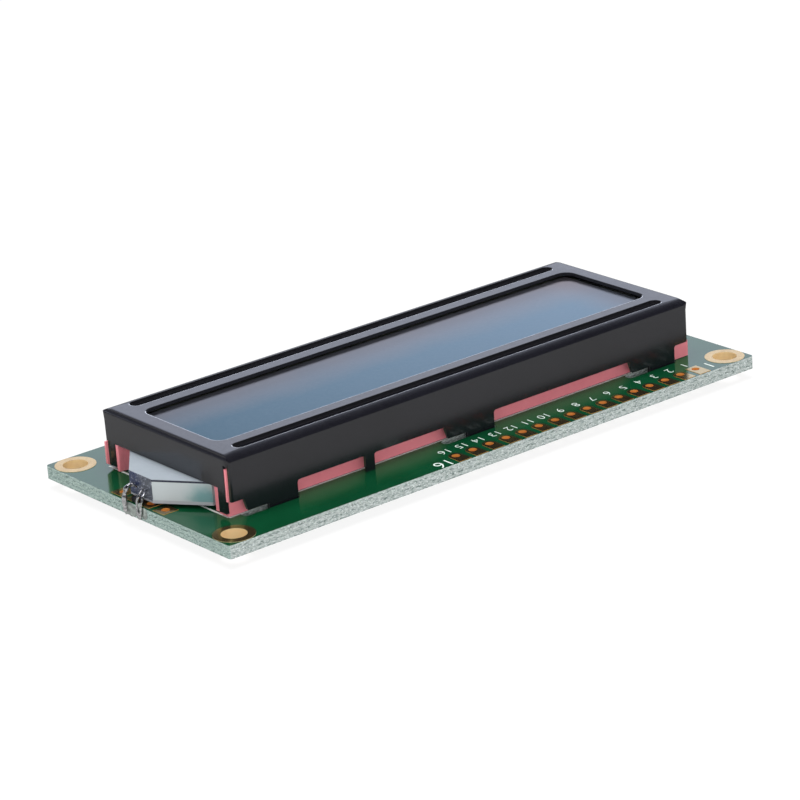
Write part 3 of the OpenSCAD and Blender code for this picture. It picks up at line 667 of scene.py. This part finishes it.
def addBox(bm, low, high, soft):
    made = bmesh.ops.create_cube(bm, size=1.0)["verts"]
    low, high = Vector(low) * mm, Vector(high) * mm
    place = Matrix.Translation((low + high) / 2) @ Matrix.Diagonal((*(high - low), 1.0))
    bmesh.ops.transform(bm, matrix=place, verts=made)
    bmesh.ops.bevel(bm, geom=linkedEdges(made), offset=soft * mm, offset_type="OFFSET",
                    affect="EDGES", segments=2, profile=0.5, material=-1)


# The bezel's shell again, with softened edges, wider long bends and rolled rims. Rims on the
# litFrom side get a painted highlight, a pale part-metal colour. "inner" bounds the window and
# beads, "litFrom" is the side on which the rims shine.
bezelShape = {
    "weld": 0.000002, "flatWithin": 0.6, "near": 0.00001,
    "inner": ((-0.0342, 0.0350), (-0.0112, 0.0115)),
    "rimFrom": 25.0, "rimWide": 0.00038, "rimFall": 0.28, "rimSteps": 5, "litFrom": (0.61, 0.79),
    "wallDeep": 0.0016, "upright": 0.5,
    "middle": 0.00015, "bendFrom": 0.0108, "bendRadius": 0.0013, "skirtFrom": 0.0119,
    "facing": 0.9, "topDeep": 0.0001, "cutSnap": 0.000001,
    "softEdge": 0.00007, "softSteps": 2, "sharpFrom": 34.0,
}


def cutFaces(bm, chosen, spot, way, snap):
    faces = [face for face in bm.faces if chosen(face)]
    edges = dict.fromkeys(e for face in faces for e in face.edges)
    corners = dict.fromkeys(v for face in faces for v in face.verts)
    bmesh.ops.bisect_plane(
        bm, geom=[*corners, *edges, *faces], plane_co=spot, plane_no=way, dist=snap)


def widenBends(bm, shape, top):
    middle, start, radius = shape["middle"], shape["bendFrom"], shape["bendRadius"]
    low = top - radius

    def onTop(face):
        flat = face.normal.z > shape["facing"]
        return flat and face.calc_center_median().z > top - shape["topDeep"]

    def onSkirt(face):
        away = abs(face.calc_center_median().y - middle)
        return abs(face.normal.y) > shape["facing"] and away > shape["skirtFrom"]

    for side in (-1, 1):
        cutFaces(bm, onTop, (0, middle + side * start, 0), (0, 1, 0), shape["cutSnap"])
    cutFaces(bm, onSkirt, (0, 0, low), (0, 0, 1), shape["cutSnap"])
    for v in bm.verts:
        across, up = abs(v.co.y - middle) - start, v.co.z - low
        reach = math.hypot(across, up)
        if across > 0.0 and up > 0.0 and reach > radius:
            v.co.y += math.copysign(across * (radius / reach - 1.0), v.co.y - middle)
            v.co.z = low + up * radius / reach
    bm.normal_update()


def makeBezelShell(shape):
    bm = bmesh.new()
    bm.from_mesh(nodes["bezel"].data)
    bmesh.ops.remove_doubles(bm, verts=bm.verts, dist=shape["weld"])
    flatWithin = math.radians(shape["flatWithin"])
    bmesh.ops.dissolve_limit(bm, angle_limit=flatWithin, verts=bm.verts, edges=bm.edges)
    (west, east), (south, north) = shape["inner"]
    top = max(v.co.z for v in bm.verts)
    highlightLayer = bm.faces.layers.float.new("rimHighlight")
    wall = bm.faces.layers.float.new("innerWall")

    def isInside(spot):
        return west < spot.x < east and south < spot.y < north

    rims = []
    for edge in bm.edges:
        onTop = all(abs(v.co.z - top) < shape["near"] and isInside(v.co) for v in edge.verts)
        if onTop and len(edge.link_faces) == 2:
            if edge.calc_face_angle() > math.radians(shape["rimFrom"]):
                rims.append(edge)
    print("rims of window and beads:", len(rims), "edges")
    made = bmesh.ops.bevel(
        bm, geom=rims, offset=shape["rimWide"], offset_type="OFFSET", affect="EDGES",
        segments=shape["rimSteps"], profile=0.5, material=-1, clamp_overlap=True)
    for v in made["verts"]:
        v.co.z = top - (top - v.co.z) * shape["rimFall"]
    bm.normal_update()
    # Rims on the lit side get the painted highlight; the others are made rough
    for face in made["faces"]:
        turned = face.normal.x * shape["litFrom"][0] + face.normal.y * shape["litFrom"][1]
        face[highlightLayer if turned < 0.0 else wall] = 1.0
    for face in bm.faces:
        spot = face.calc_center_median()
        if abs(face.normal.z) < shape["upright"] and isInside(spot):
            if spot.z > top - shape["wallDeep"]:
                face[wall] = 1.0
    widenBends(bm, shape, top)
    shell = finishPiece(bm, "bezelShell", "bezelBlack", replaced=("bezel",))
    soften = shell.modifiers.new("softEdges", "BEVEL")
    soften.width = shape["softEdge"]
    soften.segments = shape["softSteps"]
    soften.limit_method = "ANGLE"
    soften.angle_limit = math.radians(shape["sharpFrom"])
    level = shell.modifiers.new("evenShading", "WEIGHTED_NORMAL")
    level.keep_sharp = False


makeBezelShell(bezelShape)
print("bezel shell made")


# The far soft strip again, squeezed out beside the corner leg at the lamp end
stripShape = {
    "weld": 0.000002, "cutAt": 33.4, "past": 0.1, "innerFrom": -9.6, "setBack": 0.3,
    "lipFrom": 35.7, "lipLow": 2.3,
    "bulge": ((34.4, -9.88, 1.65), (35.42, -9.36, 5.0)), "soft": 0.08,
}


def makeFarStrip(shape):
    bm = bmesh.new()
    bm.from_mesh(nodes["far_side_strip"].data)
    bmesh.ops.remove_doubles(bm, verts=bm.verts, dist=shape["weld"])
    cut = shape["cutAt"] * mm
    bmesh.ops.bisect_plane(bm, geom=[*bm.verts, *bm.edges, *bm.faces],
                           plane_co=(cut, 0, 0), plane_no=(1, 0, 0))
    for v in bm.verts:
        if v.co.x > cut + shape["past"] * mm and v.co.y > shape["innerFrom"] * mm:
            v.co.y -= shape["setBack"] * mm
        if v.co.x > shape["lipFrom"] * mm:
            v.co.z = max(v.co.z, shape["lipLow"] * mm)
    addBox(bm, *shape["bulge"], shape["soft"])
    bmesh.ops.recalc_face_normals(bm, faces=bm.faces)
    finishPiece(bm, "farStrip", "pinkElastomer", smooth=False,
                replaced=("far_side_strip",))


makeFarStrip(stripShape)
print("far strip made")


# White print on the board: outline round the bezel's foot and plain pin numbers
letters = {"tallShare": 0.73, "steps": 3}
silkLook = {
    "boardTop": 1.6 * mm, "ink": 0.02 * mm, "line": 0.28 * mm, "thin": 0.03 * mm,
    "endRun": (35.09, 11.36, -11.85),
    "rowRuns": ((35.09, 32.9, 11.36), (27.9, 2.0, 10.99), (-1.2, -26.9, 10.99),
                (-30.1, -34.5, 10.99)),
    "pinRow": 14.05, "pinStart": -32.0, "pitch": 2.54, "pins": 16, "height": 1.3,
    "titles": [("16", 8.6, 16.85, 1.9), ("1", -34.1, 16.2, 1.9)],
}


def addWords(bm, words, height, place, thick, thinner):
    curve = bpy.data.curves.new("numberText", "FONT")
    curve.body = words
    curve.size = height / letters["tallShare"]
    curve.align_x = "CENTER"
    curve.align_y = "CENTER"
    curve.extrude = thick / 2
    curve.offset = -thinner
    curve.resolution_u = letters["steps"]
    holder = bpy.data.objects.new("numberText", curve)
    scene.collection.objects.link(holder)
    bpy.context.view_layer.update()
    ready = holder.evaluated_get(bpy.context.evaluated_depsgraph_get())
    mesh = bpy.data.meshes.new_from_object(ready)
    bpy.data.objects.remove(holder)
    bpy.data.curves.remove(curve)
    mesh.transform(place)
    bm.from_mesh(mesh)
    bpy.data.meshes.remove(mesh)


def addStroke(bm, start, end, width, low, high):
    run = Vector(end) - Vector(start)
    turn = Matrix.Rotation(math.atan2(run.y, run.x), 4, "Z")
    made = bmesh.ops.create_cube(bm, size=1.0)
    grow = Matrix.Diagonal((run.length + width, width, high - low, 1.0))
    middle = ((start[0] + end[0]) / 2, (start[1] + end[1]) / 2, (low + high) / 2)
    place = Matrix.Translation(middle) @ turn @ grow
    bmesh.ops.transform(bm, matrix=place, verts=made["verts"])


def makeSilk(look):
    bm = bmesh.new()
    low, high, line = look["boardTop"], look["boardTop"] + look["ink"], look["line"]
    side, near, far = look["endRun"]
    addStroke(bm, (side * mm, far * mm), (side * mm, near * mm - line), line, low, high)
    for start, end, row in look["rowRuns"]:
        ends = (start * mm - line / 2, row * mm), (end * mm + line / 2, row * mm)
        addStroke(bm, *ends, line, low, high)
    labels = [(str(pin + 1), look["pinStart"] + pin * look["pitch"], look["pinRow"], look["height"])
              for pin in range(look["pins"])]
    for words, x, y, tall in labels + look["titles"]:
        place = Matrix.Translation((x * mm, y * mm, (low + high) / 2))
        addWords(bm, words, tall * mm, place, look["ink"], look["thin"])
    finishPiece(bm, "silkMarks", "silkInk", smooth=False)


makeSilk(silkLook)
print("silk marks made")


# The lamp's leads, lumpy with solder and thicker towards the foot
leadLook = {
    "near": [(38.72, 0.21, 3.32), (38.95, 0.49, 3.41), (39.5, 0.98, 3.34), (40.08, 1.23, 3.04),
             (40.3, 1.17, 2.55), (40.37, 1.07, 2), (40.37, 1.1, 1.34), (40.35, 1.25, 0.77),
             (40.3, 1.29, 0.36)],
    "loop": [(38.72, 0.58, 3.34), (38.95, 0.91, 3.4), (39.5, 1.61, 3.27), (40.02, 1.86, 2.99),
             (40.27, 1.96, 2.49), (40.36, 1.84, 1.94), (40.38, 1.68, 1.22), (40.3, 1.34, 0.41)],
    "far": [(38.72, -0.83, 3.08), (38.98, -0.8, 3.45), (39.45, -0.89, 3.63), (39.95, -1.03, 3.55),
            (40.25, -1.12, 3.13), (40.38, -1.24, 2.46), (40.4, -1.33, 1.71), (40.37, -1.32, 1.1),
            (40.3, -1.38, 0.57)],
    "radii": {"near": 0.16, "loop": 0.14, "far": 0.27}, "flat": 0.9, "sides": 14, "steps": 7,
    "swell": 0.3, "swellScale": 1500, "footFrom": 0.6, "footSwell": 0.15,
    "lump": 0.085, "lumpScale": 3800,
}


def smoothPath(points, steps):
    spots = [Vector(p) * mm for p in points]
    spots = [spots[0] * 2 - spots[1], *spots, spots[-1] * 2 - spots[-2]]
    path = []
    for i in range(1, len(spots) - 2):
        a, b, c, d = spots[i - 1:i + 3]
        for k in range(steps):
            t = k / steps
            square = (2 * a - 5 * b + 4 * c - d) * t ** 2
            path.append(0.5 * ((2 * b) + (c - a) * t + square + (3 * b - a - 3 * c + d) * t ** 3))
    path.append(spots[-2])
    return path


def sweepLead(bm, path, radius, look):
    ring = bmesh.ops.create_circle(bm, segments=look["sides"], radius=1.0, cap_ends=False)["verts"]
    edges = linkedEdges(ring)
    swept, ends, last = list(ring), [], len(path) - 1
    for i, spot in enumerate(path):
        ahead = (path[min(i + 1, last)] - path[max(i - 1, 0)]).normalized()
        across = Vector((0, 1, 0)).cross(ahead).normalized()
        side = ahead.cross(across)
        foot = look["footSwell"] if i > len(path) * look["footFrom"] else 0
        wide = radius * (1.0 + look["swell"] * noise.noise(spot * look["swellScale"]) + foot)
        stand = Matrix((side * wide, across * wide * look["flat"], ahead)).transposed().to_4x4()
        stand.translation = spot
        if i:
            made = bmesh.ops.extrude_edge_only(bm, edges=edges)["geom"]
            ring = [g for g in made if isinstance(g, bmesh.types.BMVert)]
            edges = [g for g in made if isinstance(g, bmesh.types.BMEdge)]
            swept += ring
            bmesh.ops.transform(bm, matrix=before.inverted(), verts=ring)
        bmesh.ops.transform(bm, matrix=stand, verts=ring)
        if i in (0, last):
            ends.append(list(edges))
        before = stand
    for loop in ends:
        bmesh.ops.holes_fill(bm, edges=loop, sides=look["sides"])
    bm.normal_update()
    for v in swept:
        v.co += v.normal * noise.noise(v.co * look["lumpScale"]) * look["lump"] * mm


def makeLead(look, name, strands, replaced):
    bm = bmesh.new()
    for strand in strands:
        path = smoothPath(look[strand], look["steps"])
        sweepLead(bm, path, look["radii"][strand] * mm, look)
    bmesh.ops.recalc_face_normals(bm, faces=bm.faces)
    finishPiece(bm, name, "tinnedLead", replaced=(replaced,))


makeLead(leadLook, "leadNear", ("near", "loop"), "lamp_anode_lead")
makeLead(leadLook, "leadFar", ("far",), "lamp_cathode_lead")
print("leads made")


# The side lamp again, with its thin front rim and a black block on the board in front of it
lampShape = {
    "body": ((37.25, -1.75, 2.25), (38.95, 2.05, 4.9)),
    "face": ((38.9, -2.05, 2.27), (38.99, 2.3, 4.895)),
    "foot": ((39.0, -0.85, 1.63), (39.75, 0.55, 2.2)), "soft": 0.03,
}


def makeLampBody(shape):
    bm = bmesh.new()
    addBox(bm, *shape["body"], shape["soft"])
    addBox(bm, *shape["face"], shape["soft"])
    before = len(bm.faces)
    addBox(bm, *shape["foot"], shape["soft"])
    bm.faces.ensure_lookup_table()
    for face in bm.faces[before:]:
        face.material_index = 1
    bmesh.ops.recalc_face_normals(bm, faces=bm.faces)
    body = finishPiece(bm, "lampBody", "lampResin", smooth=False,
                       replaced=("side_lamp",))
    body.data.materials.append(surfaces["blackEpoxy"])


makeLampBody(lampShape)
print("lamp body made")


# Drops of solder on the board's end: place and half size of each
solderLook = {
    "drops": [((40.02, -0.72, 0.78), (0.17, 1.3, 0.82)), ((40.1, -1.55, 0.62), (0.26, 0.42, 0.6)),
              ((40.12, 0.98, 0.62), (0.24, 0.42, 0.58)), ((40.0, 1.85, 0.95), (0.09, 0.6, 0.72)),
              ((40.18, -1.5, 1.75), (0.2, 0.3, 0.5)), ((40.16, 1.35, 1.75), (0.2, 0.36, 0.42))],
    "fineness": 4, "rough": 0.1, "roughScale": 1900,
}


def makeSolder(look):
    bm = bmesh.new()
    for place, size in look["drops"]:
        ball = bmesh.ops.create_icosphere(bm, subdivisions=look["fineness"], radius=1.0)["verts"]
        grow = Matrix.Diagonal((*(s * mm for s in size), 1.0))
        bmesh.ops.transform(bm, matrix=Matrix.Translation(Vector(place) * mm) @ grow, verts=ball)
    for v in bm.verts:
        v.co.x += noise.noise(v.co * look["roughScale"]) * look["rough"] * mm
    bmesh.ops.recalc_face_normals(bm, faces=bm.faces)
    finishPiece(bm, "solderCoat", "dullSolder", replaced=("lamp_solder",))


makeSolder(solderLook)
print("solder made")


# The board's rear face: covered tracks, vias, solder fillets and print.
# A chip is its place and whether it is turned; a fan is its middle, side, count and reach.
rearLook = {
    "trackLow": -0.015 * mm, "trackHigh": 0.018 * mm, "track": 0.22 * mm, "wide": 0.9 * mm,
    "via": (0.42, 0.336), "viaSides": 20, "layers": 9, "layerRise": 0.0009 * mm,
    "controller": (14.0, 0.0, 8.5), "driver": (-17.0, 0.0, 7.5),
    "pinRow": 16.1, "pinStart": -32.0, "pitch": 2.54, "pins": 16,
    "straightPins": (4, 5, 6, 7), "straightRows": (9.0, 7.6, 5.0), "straightDraw": 0.55,
    "busPins": (8, 9, 10, 11, 12, 13), "busRow": (12.95, 0.36), "busColumn": (5.6, 0.55),
    "busInner": (8.5, 0.9), "busTurn": 9.3, "busEnd": 4.5,
    "linkRows": (-6.4, -6.05, -5.7, -3.4, -3.05, -2.7, -0.4, -0.05, 0.3, 2.6, 2.95, 3.3),
    "linkEnds": (-12.0, 8.0),
    "fans": ((14.0, 0.0, -1, 9, 9.6), (14.0, 0.0, 1, 7, 9.2), (-17.0, 0.0, -1, 9, 9.6)),
    "fanRoot": 0.9, "fanTip": 1.25, "fanRows": (6.3, 7.9), "fanStagger": 0.5,
    "chips": ((-2.0, -7.55, 0), (-2.0, -4.55, 0), (-2.0, -1.55, 0), (-2.0, 1.45, 0),
              (-2.0, 4.45, 0), (28.0, -6.05, 1), (28.0, -1.05, 1), (32.0, -1.05, 1),
              (-31.0, 4.85, 0), (32.0, -6.05, 1), (-31.0, 1.85, 0), (2.0, 7.85, 0)),
    "chipReach": 2.2, "chipTrack": 0.55,
    "wideRuns": (((6.1, 16.1), (6.1, 15.1), (35.6, 15.1), (36.6, 14.1), (36.6, 4.1), (38.6, 4.1)),
                 ((36.0, -4.1), (38.6, -4.1)), ((32.0, -3.25), (35.2, -3.25), (36.0, -4.1)),
                 ((-34.5, 9.0), (-34.5, -9.4), (-22.0, -9.4))),
    "chipHalf": 1.0, "fillet": (0.34, 0.62, 0.26), "filletSink": 0.02, "filletSides": (16, 10),
    "printLine": 0.16 * mm, "printHigh": 0.02 * mm, "printThin": 0.02 * mm,
    "ringGap": 0.55, "ringSides": 96, "frameHalf": (1.55, 1.0),
    "titles": (("1", -34.2), ("16", 8.8)), "titleRow": 16.2, "titleTall": 1.7,
}


# Each stroke has 8 points, so overlapping ones lie a hair apart in height
def layerLift(bm, look):
    return len(bm.verts) // 8 % look["layers"] * look["layerRise"]


def addRun(bm, points, width, low, high, look):
    for start, end in zip(points, points[1:]):
        ends = (start[0] * mm, start[1] * mm), (end[0] * mm, end[1] * mm)
        addStroke(bm, *ends, width, low - layerLift(bm, look), high)


def addVia(bm, x, y, low, high, look):
    low -= layerLift(bm, look)
    wide, narrow = look["via"]
    made = bmesh.ops.create_cone(bm, cap_ends=True, segments=look["viaSides"], radius1=wide * mm,
                                 radius2=narrow * mm, depth=high - low)
    turn = Matrix.Rotation(math.pi, 4, "X")
    place = Matrix.Translation((x * mm, y * mm, (low + high) / 2)) @ turn
    bmesh.ops.transform(bm, matrix=place, verts=made["verts"])


def makeTracks(look):
    bm = bmesh.new()
    low, high = look["trackLow"], look["trackHigh"]
    row = look["pinRow"]
    pins = [look["pinStart"] + look["pitch"] * i for i in range(look["pins"])]

    def track(points, width=look["track"]):
        addRun(bm, points, width, low, high, look)

    for pin in look["straightPins"]:
        middle = look["driver"][0]
        inner = middle + (pins[pin] - middle) * look["straightDraw"]
        first, second, third = look["straightRows"]
        track([(pins[pin], row), (pins[pin], first), (inner, second), (inner, third)])
    for lane, pin in enumerate(look["busPins"]):
        level, column, inner = (start + step * lane for start, step in (
            look["busRow"], look["busColumn"], look["busInner"]))
        turn = look["busTurn"]
        track([(pins[pin], row), (pins[pin], level), (column, level), (column, turn),
               (inner, turn - inner + column), (inner, look["busEnd"])])
    for level in look["linkRows"]:
        track([(x, level) for x in look["linkEnds"]])
    for x, y, turn, count, reach in look["fans"]:
        for i in range(count):
            off = i - (count - 1) / 2
            root, tip = x + off * look["fanRoot"], x + off * look["fanTip"]
            spot = (tip, y + turn * (reach - look["fanStagger"] * (i % 2)))
            track([*((root, y + turn * away) for away in look["fanRows"]), spot])
            addVia(bm, *spot, low, high, look)
    for x, y, turned in look["chips"]:
        step = (0, look["chipReach"]) if turned else (look["chipReach"], 0)
        ends = [(x - step[0], y - step[1]), (x + step[0], y + step[1])]
        track(ends, look["wide"] * look["chipTrack"])
        for spot in ends:
            addVia(bm, *spot, low, high, look)
    for run in look["wideRuns"]:
        track(run, look["wide"])
    bmesh.ops.recalc_face_normals(bm, faces=bm.faces)
    finishPiece(bm, "rearTracks", "coveredCopper", smooth=False)


def makeFillets(look):
    bm = bmesh.new()
    grow = Matrix.Diagonal((*(size * mm for size in look["fillet"]), 1.0))
    around, tall = look["filletSides"]
    for x, y, turned in look["chips"]:
        turn = Matrix.Rotation(math.radians(90 * turned), 4, "Z")
        place = Matrix.Translation((x * mm, y * mm, 0)) @ turn
        for end in (-1, 1):
            ball = bmesh.ops.create_uvsphere(bm, u_segments=around, v_segments=tall, radius=1.0)
            step = Matrix.Translation((end * look["chipHalf"] * mm, 0, -look["filletSink"] * mm))
            bmesh.ops.transform(bm, matrix=place @ step @ grow, verts=ball["verts"])
    finishPiece(bm, "chipSolder", "tinnedEnd")


def addRing(bm, x, y, radius, line, low, high, sides):
    loops = []
    for reach in (radius + line / 2, radius - line / 2):
        loops += bmesh.ops.create_circle(bm, segments=sides, radius=reach, cap_ends=False)["verts"]
    band = bmesh.ops.bridge_loops(bm, edges=linkedEdges(loops))["faces"]
    rise = bmesh.ops.extrude_face_region(bm, geom=band)["geom"]
    lifted = [g for g in rise if isinstance(g, bmesh.types.BMVert)]
    bmesh.ops.translate(bm, vec=(0, 0, high - low), verts=lifted)
    bmesh.ops.translate(bm, vec=(x * mm, y * mm, low), verts=loops + lifted)


def makeRearPrint(look):
    bm = bmesh.new()
    line, low, high = look["printLine"], -look["printHigh"], 0.0
    for x, y, radius in (look["controller"], look["driver"]):
        reach = (radius + look["ringGap"]) * mm
        addRing(bm, x, y, reach, line, low, high, look["ringSides"])
    for x, y, turned in look["chips"]:
        w, h = look["frameHalf"][::-1] if turned else look["frameHalf"]
        corners = [(x - w, y - h), (x + w, y - h), (x + w, y + h), (x - w, y + h), (x - w, y - h)]
        addRun(bm, corners, line, low, high, look)
    turn = Matrix.Rotation(math.pi, 4, "Y")
    for words, x in look["titles"]:
        place = Matrix.Translation((x * mm, look["titleRow"] * mm, (low + high) / 2)) @ turn
        addWords(bm, words, look["titleTall"] * mm, place, look["printHigh"], look["printThin"])
    bmesh.ops.recalc_face_normals(bm, faces=bm.faces)
    finishPiece(bm, "rearPrint", "silkInk", smooth=False)


makeTracks(rearLook)
makeFillets(rearLook)
makeRearPrint(rearLook)
print("rear side dressed")
